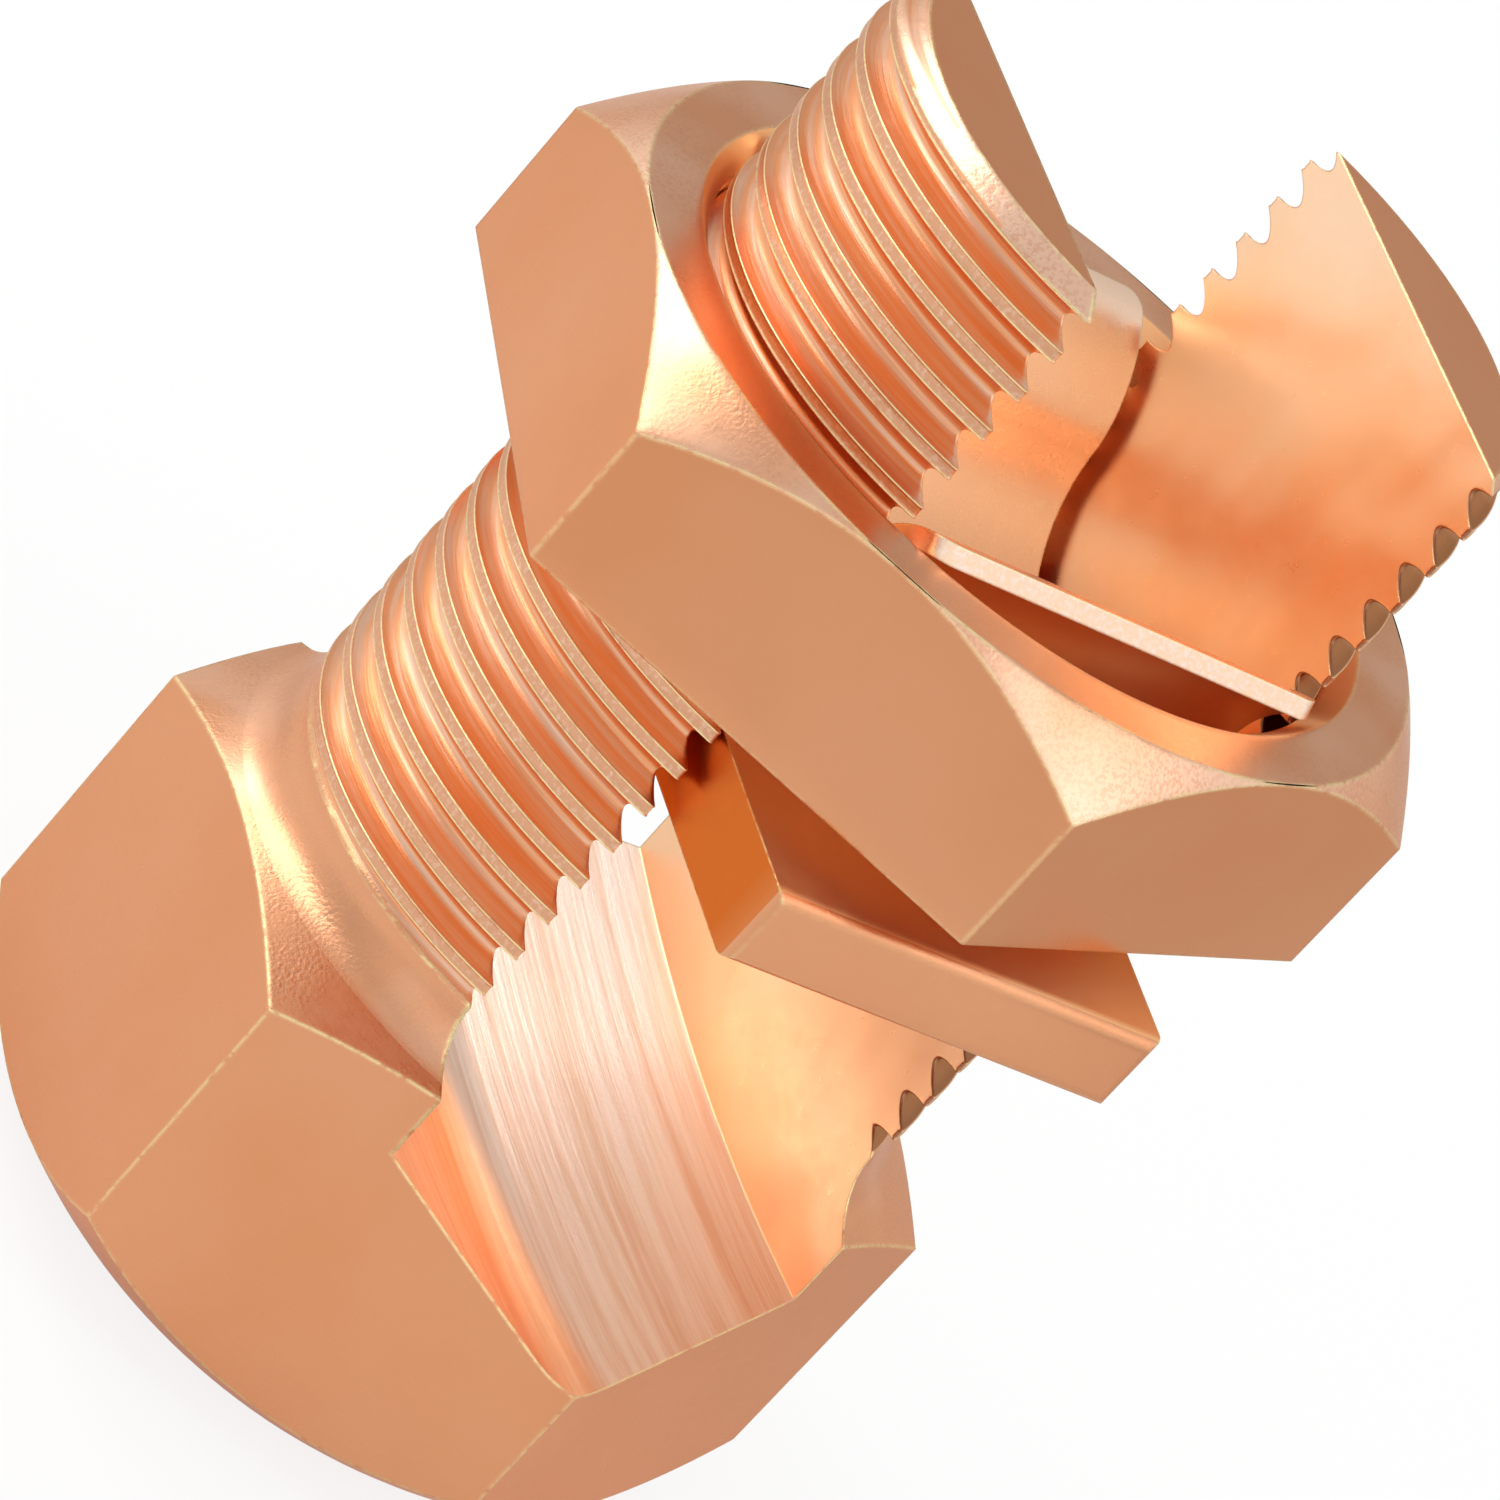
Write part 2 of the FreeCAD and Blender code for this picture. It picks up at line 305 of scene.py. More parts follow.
def hex_radius(flats, bearing, corner, angle):
    """Radius of a hexagon with rounded corners at each angle, in degrees.

    Away from the corners it is half the flats / cos(angle from the flat). The corner is cut
    back, and the smaller of the two is taken with a small round between them.
    """
    off = (angle - bearing + 30) % 60 - 30
    sharp = flats / 2 / np.cos(np.radians(off))
    cap = flats / math.sqrt(3) - corner * HEX_CORNER
    over = cap - sharp
    return cap - (np.sqrt(over ** 2 + (corner * 0.06) ** 2) + over) / 2


def nut_surface(n):
    """The nut as one closed grid: a section carried round the axis.

    At each bearing the section runs from the bore under the nut out to the hexagon, up the
    face to the cone of the chamfer, in over the top, down the countersink and the bore.
    """
    flats, bore = n.across_flats, n.bore_d / 2
    inner_top, inner_low = bore + n.sink, bore + n.under_sink
    one = np.unique(np.concatenate([np.linspace(0, 30, 22), 30 - np.geomspace(0.05, 3, 9)]))
    sector = np.concatenate([-one[::-1], one[1:]])
    angle = np.concatenate([n.bearing + 60 * i + sector[:-1] for i in range(6)])
    hexr = hex_radius(flats, n.bearing, n.corner, angle)
    corner = flats / math.sqrt(3)
    slope = n.chamfer_h / (corner - flats / 2)
    e = n.edge
    one_row = np.ones_like(angle)
    top_z = nut_high - slope * (hexr - flats / 2)
    rows = []

    def ring(radius, height):
        rows.append((radius * one_row, height * one_row))

    ring(inner_low, nut_low)
    for f in (0.35, 0.7):
        ring(inner_low + (hexr - e - inner_low) * f, nut_low)
    for a in np.radians([0, 30, 60, 90]):
        ring(hexr - e + e * np.sin(a), nut_low + e - e * np.cos(a))
    for f in (0.12, 0.3, 0.5, 0.7, 0.88):
        ring(hexr, nut_low + e + (top_z - nut_low - 2 * e) * f)
    lean = math.atan(slope)
    for a in np.linspace(0, math.pi / 2 - lean, 4):
        ring(hexr - e * 0.7 + e * 0.7 * np.cos(a), top_z - e * 0.5 + e * 0.7 * np.sin(a))
    rim = flats / 2
    for f in (0.1, 0.3, 0.5, 0.7, 0.9, 0.97):
        r = hexr - e + (rim - hexr + e) * f
        ring(r, np.minimum(nut_high - slope * (r - rim), nut_high))
    for f in (0.0, 0.02, 0.15, 0.5, 0.85, 0.97):
        ring(rim - 0.03 + (inner_top - rim) * f, nut_high)
    for f in (0.0, 0.08, 0.5, 0.92, 1.0):
        ring(inner_top - n.sink * f, nut_high - 0.01 - (n.sink - 0.01) * f)
    for f in np.linspace(0.1, 1.0, 9):
        ring(bore, nut_high - n.sink - (nut_high - nut_low - n.sink - n.under_sink) * f)
    ring(bore + n.under_sink * 0.5, nut_low + n.under_sink * 0.5)
    radius = np.stack([r for r, _ in rows])
    height = np.stack([z for _, z in rows])
    rad = np.radians(angle)
    pts = np.stack([radius * np.cos(rad), radius * np.sin(rad), height], -1)
    count, cols = pts.shape[:2]
    pts = np.concatenate([pts, pts[:1]])
    return pts.reshape(-1, 3), grid_faces(count + 1, cols, True)


def nut_thread_surface(t, n):
    """The nut's own thread: a ridge carried up a helix between the two countersinks.

    Height = middle of the bolt's groove at the bearing + distance along the ridge's section,
    and the radius is held outside both countersinks.
    """
    bore = n.bore_d / 2
    r_top = t.crest_d / 2
    edge = math.degrees(math.acos(t.slot_w / 2 / r_top))
    side = np.array([0.50, 0.46, 0.30, 0.22, 0.16])
    inward = np.array([-0.05, 0.03, 0.42, 0.54, 0.565])
    s = np.concatenate([-side, side[::-1]])
    r = bore - np.concatenate([inward, inward[::-1]])
    first = math.floor((nut_low - bolt_tip) / t.pitch - 1) * 360
    last = math.ceil((nut_high - bolt_tip) / t.pitch + 1) * 360
    theta = np.arange(first, last + 1, 4.0)
    middle = bolt_tip - t.crest_drop - t.pitch / 2 + t.pitch * (theta - 180 - edge) / 360
    keep = (middle > nut_low + 0.1) & (middle < nut_high - n.sink - 0.9)
    theta, middle = theta[keep], middle[keep]
    z = middle[:, None] + s[None, :]
    z = np.clip(z, nut_low + 0.02, nut_high - 0.02)
    cone = np.maximum(bore + n.sink - (nut_high - z), bore + n.under_sink - (z - nut_low))
    fade_deg = 40
    end = np.minimum(theta - theta[0], theta[-1] - theta) / fade_deg
    rise = np.clip(end, 0, 1)[:, None]
    rr = np.maximum(r[0] + (r[None, :] - r[0]) * rise, cone + 0.01)
    rad = np.radians(theta)[:, None]
    pts = np.stack([rr * np.cos(rad), rr * np.sin(rad), z], -1)
    rows, cols = pts.shape[:2]
    faces = grid_faces(rows, cols, True).tolist()
    faces.append(list(range(cols)))
    faces.append(list(range((rows - 1) * cols, rows * cols)))
    return pts.reshape(-1, 3), faces


class NodeBoard:
    """Small helper that adds shader nodes to an emptied node tree and links them."""

    def __init__(self, tree):
        self.tree = tree
        tree.nodes.clear()

    def add(self, kind, **values):
        node = self.tree.nodes.new("ShaderNode" + kind)
        for key, value in values.items():
            setattr(node, key, value)
        return node

    def link(self, out, into):
        self.tree.links.new(out, into)

    def put(self, value, socket):
        """Links an output to the socket, or sets a number or a colour on it."""
        if isinstance(value, bpy.types.NodeSocket):
            self.link(value, socket)
        elif isinstance(value, (int, float)):
            socket.default_value = value
        else:
            socket.default_value = (*value, 1.0)

    def math(self, operation, *inputs):
        node = self.add("Math", operation=operation)
        for socket, value in zip(node.inputs, inputs):
            self.put(value, socket)
        return node.outputs[0]

    def span(self, value, low, high):
        """0 at low, 1 at high and straight between."""
        node = self.add("MapRange", clamp=True)
        self.link(value, node.inputs["Value"])
        node.inputs["From Min"].default_value = low
        node.inputs["From Max"].default_value = high
        return node.outputs["Result"]

    def total(self, *heights):
        """Sum of (mask, height in millimetres) pairs."""
        out = None
        for mask, height in heights:
            part = self.math("MULTIPLY", mask, height)
            out = part if out is None else self.math("ADD", out, part)
        return out

    def mix(self, factor, a, b):
        node = self.add("Mix", data_type="RGBA")
        for place, value in ((0, factor), (6, a), (7, b)):
            self.put(value, node.inputs[place])
        return node.outputs[2]

    def vector(self, x, y, z):
        node = self.add("CombineXYZ")
        for socket, value in zip(node.inputs, (x, y, z)):
            self.link(value, socket)
        return node.outputs[0]


class Finish(NodeBoard):
    """Nodes of one material. place, x, y and z are the object coordinates in millimetres."""

    def __init__(self, name):
        self.material = bpy.data.materials.new(name)
        self.material.use_nodes = True
        super().__init__(self.material.node_tree)
        mapping = self.add("Mapping")
        mapping.inputs["Scale"].default_value = [1 / MM] * 3
        self.link(self.add("TexCoord").outputs["Object"], mapping.inputs["Vector"])
        self.place = mapping.outputs["Vector"]
        parts = self.add("SeparateXYZ")
        self.link(self.place, parts.inputs[0])
        self.x, self.y, self.z = parts.outputs

    def noise(self, scale, detail=2.0, stretch=(1, 1, 1), rough=0.5, at=None):
        """Noise with scale waves to the millimetre, times a stretch along each axis."""
        mapping = self.add("Mapping")
        mapping.inputs["Scale"].default_value = [scale * k for k in stretch]
        self.link(at or self.place, mapping.inputs["Vector"])
        node = self.add("TexNoise")
        node.inputs["Scale"].default_value = 1.0
        node.inputs["Detail"].default_value = detail
        node.inputs["Roughness"].default_value = rough
        self.link(mapping.outputs["Vector"], node.inputs["Vector"])
        return node.outputs["Fac"]

    def radius(self):
        return self.math("SQRT", self.math("ADD", self.math("MULTIPLY", self.x, self.x),
                                           self.math("MULTIPLY", self.y, self.y)))

    def turned_place(self):
        """Bearing as a unit circle, and the way along the section: rings share a value."""
        r = self.radius()
        return self.vector(self.math("DIVIDE", self.x, r), self.math("DIVIDE", self.y, r),
                           self.math("ADD", self.z, r))

    def thread_place(self, pitch):
        """Way along the helix, and height less the rise of the helix at the bearing.

        The bearing is measured from the front of the slot, so that it jumps in the slot.
        """
        bearing = self.math("ARCTAN2", self.math("MULTIPLY", self.x, -1.0),
                            self.math("MULTIPLY", self.y, -1.0))
        rise = self.math("MULTIPLY_ADD", bearing, pitch / (2 * math.pi), self.z)
        return self.vector(self.math("MULTIPLY", bearing, 10.9), rise, self.radius())

    def copper(self, colour, height, rough, wear=1.0, edge=0.09, coat=0.5):
        """Copper of a colour, with heights in millimetres as bump and rubbed bright edges.

        wear is the share of the edges that is rubbed bright, and edge their width. coat is the
        share of a thin clear film, which pales the highlights.
        """
        c = bpy.context.scene.split_bolt_copper
        bsdf = self.add("BsdfPrincipled")
        bsdf.inputs["Metallic"].default_value = 1.0
        self.put(c.grazing, bsdf.inputs["Specular Tint"])
        self.put(coat, bsdf.inputs["Coat Weight"])
        bsdf.inputs["Coat IOR"].default_value = COAT_IOR
        bsdf.inputs["Coat Roughness"].default_value = COAT_ROUGHNESS
        bump = self.add("Bump")
        bump.inputs["Distance"].default_value = MM
        self.link(height, bump.inputs["Height"])
        bevel = self.add("Bevel", samples=BEVEL_SAMPLES)
        bevel.inputs["Radius"].default_value = edge * MM
        self.link(bevel.outputs[0], bump.inputs["Normal"])
        self.link(bump.outputs[0], bsdf.inputs["Normal"])
        self.link(bump.outputs[0], bsdf.inputs["Coat Normal"])
        dot = self.add("VectorMath", operation="DOT_PRODUCT")
        self.link(bevel.outputs[0], dot.inputs[0])
        self.link(self.add("NewGeometry").outputs["Normal"], dot.inputs[1])
        rubbed = self.span(dot.outputs["Value"], 0.995, 0.95)
        breaks = self.span(self.noise(3.4, 3.0), 0.32, 0.50)
        worn = self.math("MULTIPLY", self.math("MULTIPLY", rubbed, breaks), wear)
        self.link(self.mix(worn, colour, c.edge), bsdf.inputs["Base Color"])
        spread = self.math("MULTIPLY_ADD", self.noise(2.2, 2.0), 0.12, rough - 0.06)
        self.link(spread, bsdf.inputs["Roughness"])
        self.link(bsdf.outputs[0], self.add("OutputMaterial").inputs[0])
        return self.material


def flat_copper(name, along):
    """Satin flats: redder patches, very fine lines along one axis and a fine grain."""
    c = bpy.context.scene.split_bolt_copper
    b = Finish(name)
    lines = b.noise(9.0, 3.0, along, 0.6)
    patch = b.span(b.noise(0.10, 3.0), 0.38, 0.68)
    colour = b.mix(patch, c.satin, c.warm)
    height = b.total((lines, 0.007), (b.noise(9.0), 0.003), (b.noise(0.9), 0.004))
    return b.copper(colour, height, 0.30, 0.8, 0.19)


def turned_copper(name, pebble, rough=0.28, pale=0.0):
    """Turned cones: rings of fine marks and, in patches, a pebbled sparkle."""
    c = bpy.context.scene.split_bolt_copper
    b = Finish(name)
    rings = b.noise(1.0, 3.0, (5.0, 5.0, 7.0), 0.6, at=b.turned_place())
    where = b.span(b.noise(0.32, 2.0), 0.34, 0.60)
    pebbles = b.noise(8.0, 1.0)
    colour = b.mix(b.span(b.noise(0.16, 2.0), 0.35 + 0.3 * pale, 0.65 + 0.3 * pale),
                   c.turned, c.satin)
    speck = b.math("MULTIPLY", b.span(pebbles, 0.52, 0.40), where)
    colour = b.mix(b.math("MULTIPLY", speck, 0.6), colour, c.dull)
    height = b.total((rings, 0.004), (b.math("MULTIPLY", pebbles, where), pebble),
                     (b.noise(10.0), 0.0015))
    return b.copper(colour, height, rough, 1.0, 0.20, 0.55)


def thread_copper(name):
    """Thread: smooth hollows with marks along the helix, flat crests with a speckled grain."""
    c = bpy.context.scene.split_bolt_copper
    t = bpy.context.scene.split_bolt_thread
    b = Finish(name)
    top = t.crest_d / 2
    radius = b.radius()
    on_crest = b.span(radius, top - 0.06, top - 0.034)
    on_lip = b.span(radius, top - 0.02, top - 0.004)
    marks = b.noise(1.0, 3.0, (0.14, 7.0, 3.0), 0.6, at=b.thread_place(t.pitch))
    speckle = b.noise(6.5, 1.0)
    colour = b.mix(b.span(marks, 0.42, 0.66), c.rolled, c.turned)
    grain = b.mix(b.span(speckle, 0.5, 0.8), c.crest, c.turned)
    colour = b.mix(on_crest, colour, grain)
    colour = b.mix(b.math("MULTIPLY", on_lip, b.span(b.noise(2.5), 0.3, 0.5)), colour,
                   c.edge)
    # Painted dark reflection on the tooth ends at the right leg's front edge, off the crests;
    # the rubbed edges and the clear coat are reduced there too.
    painted_dark_mask = b.math("MULTIPLY", b.span(b.x, 6.9, 7.2), b.span(b.y, -4.4, -6.4))
    painted_dark_mask = b.math("MULTIPLY", painted_dark_mask, b.math("SUBTRACT", 1.0, on_crest))
    colour = b.mix(painted_dark_mask, colour, c.painted_dark_reflection)
    height = b.total((marks, 0.012), (b.math("MULTIPLY", speckle, on_crest), 0.009),
                     (b.noise(0.5), 0.01))
    wear = b.math("SUBTRACT", 0.8, painted_dark_mask)
    coat = b.math("MULTIPLY_ADD", painted_dark_mask, -0.6, 0.6)
    return b.copper(colour, height, 0.32, wear, 0.06, coat)


def slot_copper(name):
    """Polished walls of the slot: soft clouds and faint mill marks along Y."""
    c = bpy.context.scene.split_bolt_copper
    b = Finish(name)
    marks = b.noise(5.0, 2.0, (1.0, 0.06, 1.0), 0.6)
    clouds = b.noise(0.13, 2.0)
    colour = b.mix(b.span(clouds, 0.38, 0.64), c.polished, c.clouds)
    height = b.total((marks, 0.0008), (clouds, 0.35), (b.noise(0.5, 1.0), 0.006))
    return b.copper(colour, height, 0.3, coat=0.0)


def seat_copper(name):
    """Milled seat: light and dark streaks along Y and a grain on the light ones."""
    c = bpy.context.scene.split_bolt_copper
    b = Finish(name)
    streaks = b.noise(1.0, 5.0, (2.6, 0.05, 0.4), 0.7)
    light = b.span(streaks, 0.34, 0.62)
    colour = b.mix(light, c.turned, c.milled)
    height = b.total((streaks, 0.008), (b.math("MULTIPLY", b.noise(7.0, 1.0), light), 0.004))
    return b.copper(colour, height, 0.34, coat=0.5)


def drawn_marks(b):
    """Faint marks across the drawn pressure bar."""
    return b.noise(4.0, 3.0, (0.08, 1.0, 1.0), 0.6)


def bar_copper(name):
    """Drawn walls of the pressure bar: polished, with soft clouds."""
    c = bpy.context.scene.split_bolt_copper
    b = Finish(name)
    colour = b.mix(b.span(b.noise(0.2, 2.0), 0.35, 0.65), c.polished, c.clouds)
    height = b.total((drawn_marks(b), 0.0003), (b.noise(0.3, 1.0), 0.01))
    return b.copper(b.mix(0.5, colour, c.milled), height, 0.28, coat=0.0)


def lip_copper(name):
    """Cut edge of the bar's lips: bright, with a speckled grain."""
    c = bpy.context.scene.split_bolt_copper
    b = Finish(name)
    speckle = b.noise(7.0, 1.0)
    colour = b.mix(b.span(speckle, 0.45, 0.7), c.polished, c.milled)
    return b.copper(colour, b.total((speckle, 0.008), (drawn_marks(b), 0.003)), 0.3)


def foot_side_copper(name):
    """Sawn sides of the foot: a painted copper reflection, paler towards its two ends."""
    c = bpy.context.scene.split_bolt_copper
    b = Finish(name)
    # Painted copper reflection between the legs, fading to the warm copper near the two ends.
    near_end = b.span(b.math("ABSOLUTE", b.y), 12.6, 14.9)
    colour = b.mix(near_end, c.painted_copper_reflection, c.warm)
    return b.copper(colour, b.total((drawn_marks(b), 0.002)), 0.3, coat=0.0)


def inner_copper(name):
    """Bore, bar's trough and foot, which see little but other copper: a brighter painted glow.
    """
    c = bpy.context.scene.split_bolt_copper
    b = Finish(name)
    return b.copper(c.painted_bounce_glow, b.total((drawn_marks(b), 0.0003)), 0.5, coat=0.0)


class SPLITBOLT_OT_bolt(bpy.types.Operator):
    """Make the slotted bolt: head with its seat, and the two threaded legs"""
    bl_idname = "splitbolt.bolt"
    bl_label = "Split bolt"

    def execute(self, context):
        t = context.scene.split_bolt_thread
        wall = t.slot_w / 2
        flat = flat_copper("head_copper", (0.1, 0.1, 1.0))
        turned = turned_copper("shoulder_copper", 0.014, pale=-0.5)
        threads = thread_copper("thread_copper")
        slot = slot_copper("slot_copper")
        seat = seat_copper("seat_copper")
        chamfer = turned_copper("tip_chamfer_copper", 0.008, pale=0.6)
        tips = flat_copper("tip_copper", (0.3, 1.0, 1.0))

        def head_rule(middle, normal):
            FLAT, TURNED, SLOT, SEAT = range(4)
            inside = np.abs(middle[:, 0]) < wall + 0.01
            place = np.full(len(middle), FLAT)
            place[(normal[:, 2] > 0.3) & (middle[:, 2] > 11) & ~inside] = TURNED
            place[inside & (np.abs(normal[:, 0]) > 0.99) & (middle[:, 2] > 8)] = SLOT
            place[inside & (normal[:, 2] > 0.5)] = SEAT
            return place

        def leg_rule(middle, normal):
            THREAD, TURNED, SLOT, CHAMFER, TIP = range(5)
            radius = np.hypot(middle[:, 0], middle[:, 1])
            place = np.full(len(middle), THREAD)
            place[(middle[:, 2] < t.start_z - 0.1) & (radius > t.neck_d / 2 - 0.1)] = TURNED
            on_wall = np.abs(middle[:, 0]) < wall + 0.01
            place[on_wall & (np.abs(normal[:, 0]) > 0.999)] = SLOT
            high = middle[:, 2] > bolt_tip - t.tip_chamfer - 0.05
            place[high & (normal[:, 2] > 0.6) & (normal[:, 2] < 0.8)] = CHAMFER
            place[high & (normal[:, 2] > 0.99)] = TIP
            return place

        head = smooth_copy("split_bolt", "bolt_head", "bolt",
                           [flat, turned, slot, seat], head_rule, 50, t.shoulder_z)
        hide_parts("split_bolt")
        for name, middle in (("bolt_leg_right", 0.0), ("bolt_leg_left", 180.0)):
            points, faces = leg_surface(t, middle)
            leg = new_piece(name, points, faces, "bolt",
                            [threads, turned, slot, chamfer, tips], leg_rule, 35)
            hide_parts("split_bolt")
        return {"FINISHED"}


class SPLITBOLT_OT_nut(bpy.types.Operator):
    """Make the hexagon nut and its thread"""
    bl_idname = "splitbolt.nut"
    bl_label = "Nut"

    def execute(self, context):
        n = context.scene.split_bolt_nut
        t = context.scene.split_bolt_thread
        flat = flat_copper("nut_copper", (1.0, 1.0, 0.1))
        turned = turned_copper("nut_chamfer_copper", 0.009, pale=0.2)
        top = turned_copper("nut_top_copper", 0.002, 0.3, -0.2)
        bore = inner_copper("nut_bore_copper")

        def nut_rule(middle, normal):
            FLAT, CHAMFER, TOP, BORE = range(4)
            radius = np.hypot(middle[:, 0], middle[:, 1])
            place = np.full(len(middle), FLAT)
            place[(normal[:, 2] > 0.35) & (radius > n.across_flats / 2 - 0.05)] = CHAMFER
            place[normal[:, 2] > 0.97] = TOP
            place[radius < n.bore_d / 2 + n.sink] = BORE
            return place

        points, faces = nut_surface(n)
        nut = new_piece("nut_body", points, faces, "nut",
                        [flat, turned, top, bore], nut_rule, 30)
        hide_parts("hex_nut")
        points, faces = nut_thread_surface(t, n)
        ridge = new_piece("nut_thread", points, faces, "nut", [bore],
                          lambda middle, normal: np.zeros(len(middle)), 35)
        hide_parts("hex_nut")
        return {"FINISHED"}


class SPLITBOLT_OT_bar(bpy.types.Operator):
    """Make the captive pressure bar"""
    bl_idname = "splitbolt.bar"
    bl_label = "Pressure bar"

    def execute(self, context):
        flat = flat_copper("foot_copper", (0.3, 1.0, 1.0))
        drawn = bar_copper("bar_copper")
        lip = lip_copper("bar_lip_copper")
        side = foot_side_copper("foot_side_copper")
        inner = inner_copper("bar_inner_copper")

        def bar_rule(middle, normal):
            FLAT, DRAWN, LIP, SIDE, INNER = range(5)
            ends = np.abs(middle[:, 1]) > 13.0
            lips = middle[:, 2] > nut_high
            foot = middle[:, 2] < nut_low
            outward = normal[:, 1] * np.sign(middle[:, 1]) > 0.5
            place = np.full(len(middle), DRAWN)
            place[ends & (normal[:, 2] < 0.9)] = FLAT
            place[lips & outward] = LIP
            # These places get the painted glow of inner_copper.
            place[outward & ~lips & (middle[:, 2] > nut_low)] = INNER
            place[foot & (normal[:, 2] > 0.9)] = INNER
            place[foot & (np.abs(normal[:, 0]) > 0.9)] = SIDE
            return place

        bar = smooth_copy("pressure_bar", "bar_body", "bar",
                          [flat, drawn, lip, side, inner], bar_rule, 32)
        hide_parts("pressure_bar")
        return {"FINISHED"}


def studio(st):
    """World: white to the camera, an even light, and a pale room in the metal's mirror.

    The mirrored room is white to the front and to the left behind, and darkest to the right
    behind.
    """
    world = bpy.data.worlds.new("studio")
    world.use_nodes = True
    b = NodeBoard(world.node_tree)
    parts = b.add("SeparateXYZ")
    b.link(b.add("TexCoord").outputs["Generated"], parts.inputs[0])
    x, y, z = parts.outputs
    path = b.add("LightPath")

    def towards(cx, cy, cz, far, near):
        """1 in directions close to (cx, cy, cz), 0 far from it, by the cosine."""
        part = [b.math("MULTIPLY", k, c) for k, c in ((x, cx), (y, cy), (z, cz))]
        return b.span(b.math("ADD", b.math("ADD", part[0], part[1]), part[2]), far, near)

    room = b.mix(towards(-0.6, 0.8, 0.0, 0.6, 0.9), st.room, st.white)
    room = b.mix(towards(0.58, -0.70, 0.42, 0.5, 0.8), room, st.white)
    room = b.mix(towards(-0.4, -0.9, 0.1, 0.4, 0.8), room, st.white)
    room = b.mix(towards(0.94, 0.34, 0.0, 0.85, 0.95), room, st.light)
    room = b.mix(towards(0.575, 0.71, 0.41, 0.88, 0.97), room, st.room_back)
    room = b.mix(b.span(z, 0.75, 0.95), room, st.light)
    colour = b.mix(path.outputs["Is Glossy Ray"], st.light, room)
    colour = b.mix(path.outputs["Is Camera Ray"], colour, st.white)
    sky = b.add("Background")
    b.link(colour, sky.inputs["Color"])
    b.link(sky.outputs[0], b.add("OutputWorld").inputs[0])
    return world


def lamp(name, bearing, height, distance, width, depth, brightness):
    """Soft rectangular lamp that faces the object, placed by its bearing and its height over
    the horizon in degrees. brightness is what it would show as in a mirror, with 1 as white."""
    data = bpy.data.lights.new(name, "AREA")
    data.shape = "RECTANGLE"
    data.size, data.size_y = width, depth
    data.energy = brightness * math.pi * width * depth
    obj = bpy.data.objects.new(name, data)
    a, e = math.radians(bearing), math.radians(height)
    way = Vector((math.cos(a) * math.cos(e), math.sin(a) * math.cos(e), math.sin(e)))
    aim = Vector((0, 0, 0.022))
    obj.matrix_world = (Matrix.Translation(aim + way * distance)
                        @ way.to_track_quat("Z", "Y").to_matrix().to_4x4())
    bpy.context.scene.collection.objects.link(obj)
    return obj


def floor_white(st):
    """Floor that the camera sees as white with a soft shadow, and that the metal mirrors.

    To the right of the part and in front of it at the left, a painted shade darkens the floor
    that is lit and mirrored; the camera still sees the plain floor colour there.
    """
    b = Finish("floor_white")
    # Painted shade on the floor to the right of the part and in front of it at the left, for
    # lit and mirrored rays only.
    painted_shade_right = b.span(b.math("MULTIPLY_ADD", b.y, 0.6, b.x), 5.0, 30.0)
    front = b.math("MULTIPLY", b.span(b.y, -25.0, -60.0), b.span(b.x, 10.0, -20.0))
    front = b.math("MULTIPLY", front, 0.5)
    shade = b.mix(b.math("MAXIMUM", painted_shade_right, front), st.floor, st.floor_painted_shade)
    path = b.add("LightPath")
    eye = path.outputs["Is Camera Ray"]
    pale = b.add("BsdfDiffuse")
    b.link(b.mix(eye, shade, st.floor), pale.inputs["Color"])
    glow = b.add("Emission")
    b.link(b.mix(eye, shade, st.white), glow.inputs["Color"])
    mirrored = b.math("MAXIMUM", path.outputs["Is Glossy Ray"],
                      path.outputs["Is Transmission Ray"])
    seen = b.math("MAXIMUM", b.math("MULTIPLY", eye, 0.85), b.math("MULTIPLY", mirrored, 0.35))
    mixed = b.add("MixShader")
    for place, value in enumerate((seen, pale.outputs[0], glow.outputs[0])):
        b.link(value, mixed.inputs[place])
    b.link(mixed.outputs[0], b.add("OutputMaterial").inputs[0])
    return b.material


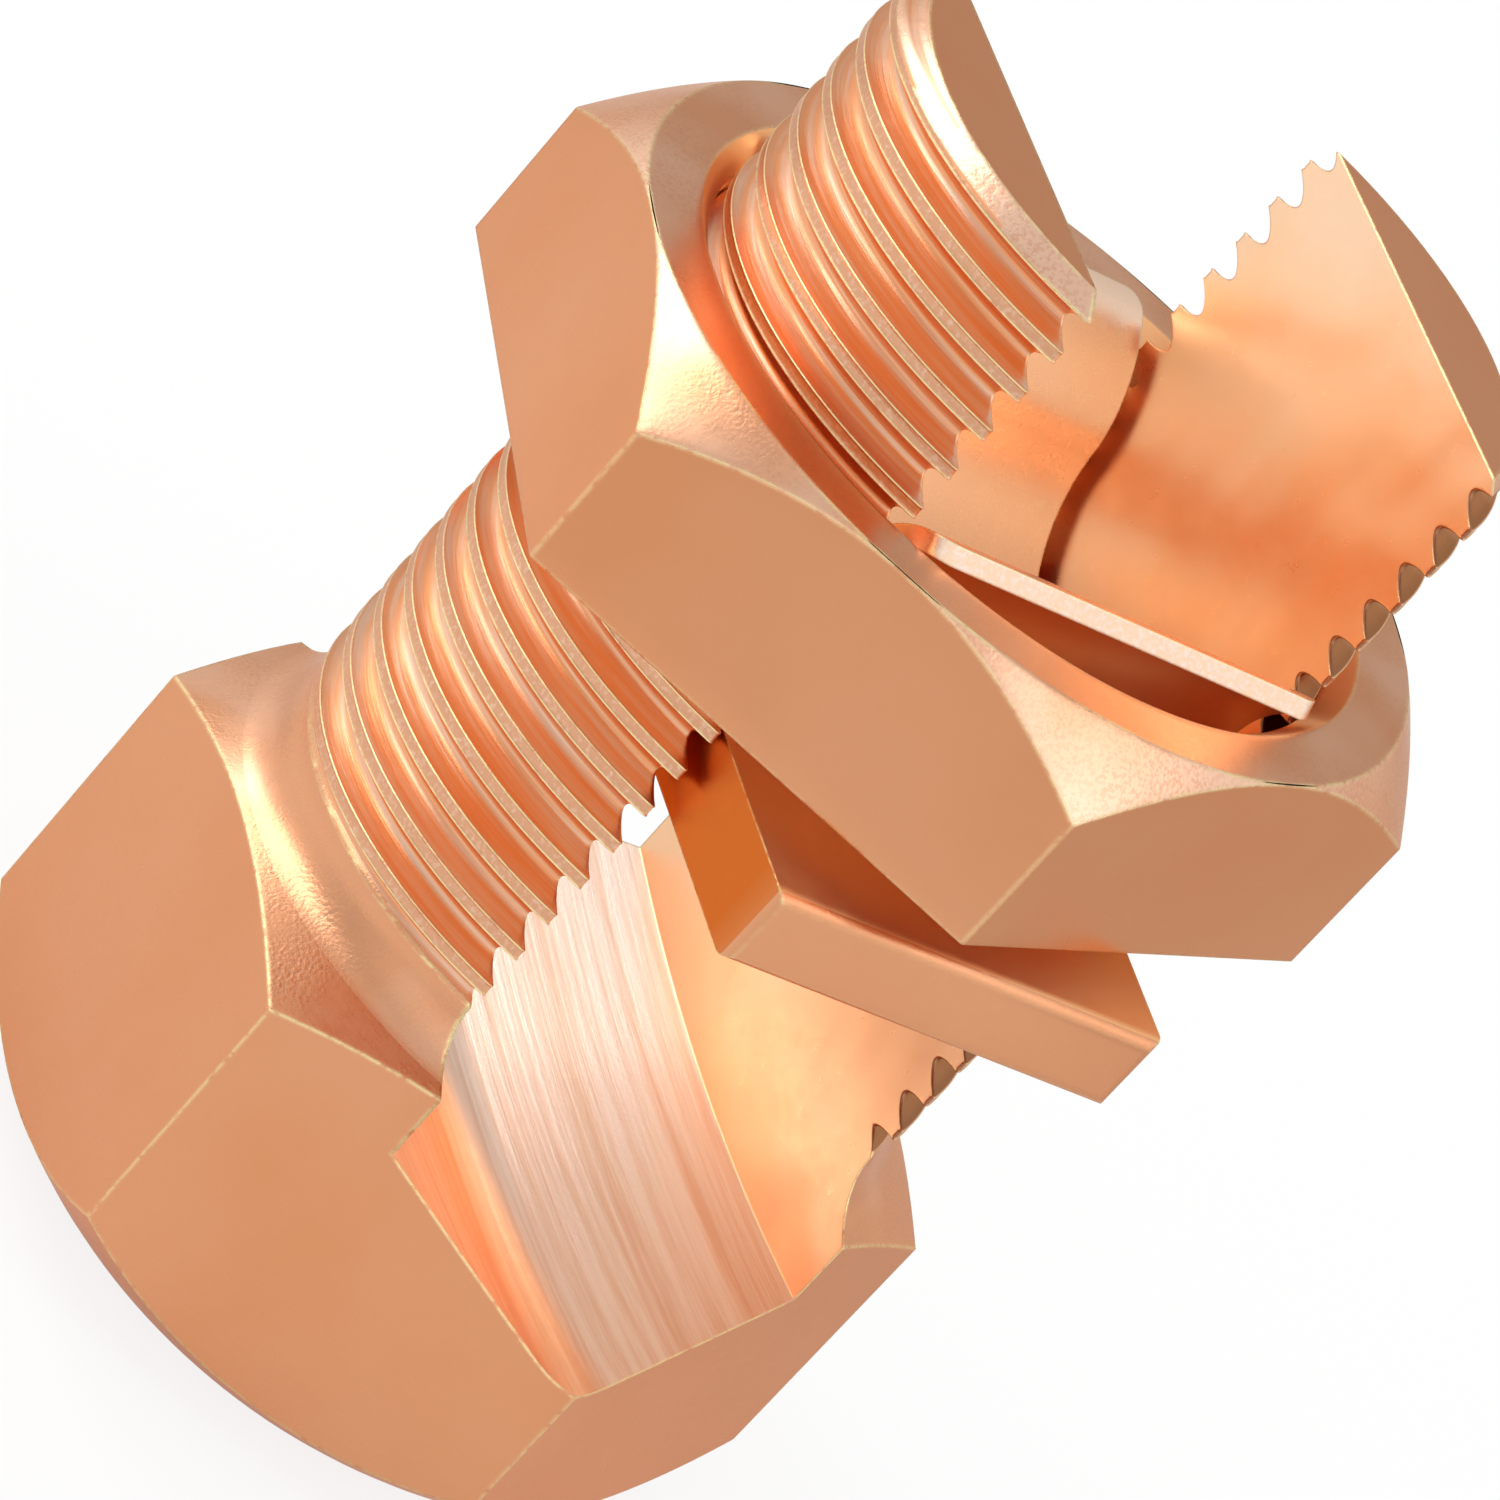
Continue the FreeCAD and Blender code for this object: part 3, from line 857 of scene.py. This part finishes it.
class SPLITBOLT_OT_stage(bpy.types.Operator):
    """Make the floor, the lights and the camera at the photograph's viewing angle"""
    bl_idname = "splitbolt.stage"
    bl_label = "Stage"

    def execute(self, context):
        st = context.scene.split_bolt_stage
        scene = context.scene
        data = bpy.data.cameras.new("camera")
        data.sensor_width = 36.0
        data.lens = st.lens
        data.clip_start = 0.005
        data.clip_end = 50.0
        camera = bpy.data.objects.new("camera", data)
        right, down = Vector(CAMERA_RIGHT), Vector(CAMERA_DOWN)
        turn = Matrix((right, -down, down.cross(right))).transposed().to_4x4()
        camera.matrix_world = Matrix.Translation(CAMERA_AT) @ turn
        scene.collection.objects.link(camera)
        scene.camera = camera

        far = 3.0
        mesh = bpy.data.meshes.new("floor")
        mesh.from_pydata([(-far, -far, 0), (far, -far, 0), (far, far, 0), (-far, far, 0)], [],
                         [(0, 1, 2, 3)])
        mesh.materials.append(floor_white(st))
        floor = bpy.data.objects.new("floor", mesh)
        floor.location.z = -0.00001
        scene.collection.objects.link(floor)

        scene.world = studio(st)
        for row in LAMPS:
            lamp(*row)
        scene.view_settings.view_transform = "Standard"
        scene.cycles.glossy_bounces = MIRROR_BOUNCES
        return {"FINISHED"}


class SPLITBOLT_PT_panel(bpy.types.Panel):
    """Split bolt connector"""
    bl_label = "Split bolt"
    bl_space_type = "VIEW_3D"
    bl_region_type = "UI"
    bl_category = "Split bolt"

    def draw(self, context):
        for name in GROUPS:
            group = getattr(context.scene, name)
            box = self.layout.box()
            for key in group.__annotations__:
                box.prop(group, key)
        for operator in OPERATORS:
            self.layout.operator(operator.bl_idname)


GROUPS = {
    "split_bolt_thread": SplitBoltThread,
    "split_bolt_nut": SplitBoltNut,
    "split_bolt_copper": SplitBoltCopper,
    "split_bolt_stage": SplitBoltStage,
}
OPERATORS = (SPLITBOLT_OT_bolt, SPLITBOLT_OT_nut, SPLITBOLT_OT_bar, SPLITBOLT_OT_stage)


def register():
    for cls in (*GROUPS.values(), *OPERATORS, SPLITBOLT_PT_panel):
        bpy.utils.register_class(cls)
    for name, cls in GROUPS.items():
        setattr(bpy.types.Scene, name, bpy.props.PointerProperty(type=cls))


def unregister():
    for name in GROUPS:
        delattr(bpy.types.Scene, name)
    for cls in reversed((*GROUPS.values(), *OPERATORS, SPLITBOLT_PT_panel)):
        bpy.utils.unregister_class(cls)


def main():
    register()
    bpy.ops.splitbolt.stage()
    bpy.ops.splitbolt.bolt()
    bpy.ops.splitbolt.nut()
    bpy.ops.splitbolt.bar()


if __name__ == "__main__":
    main()
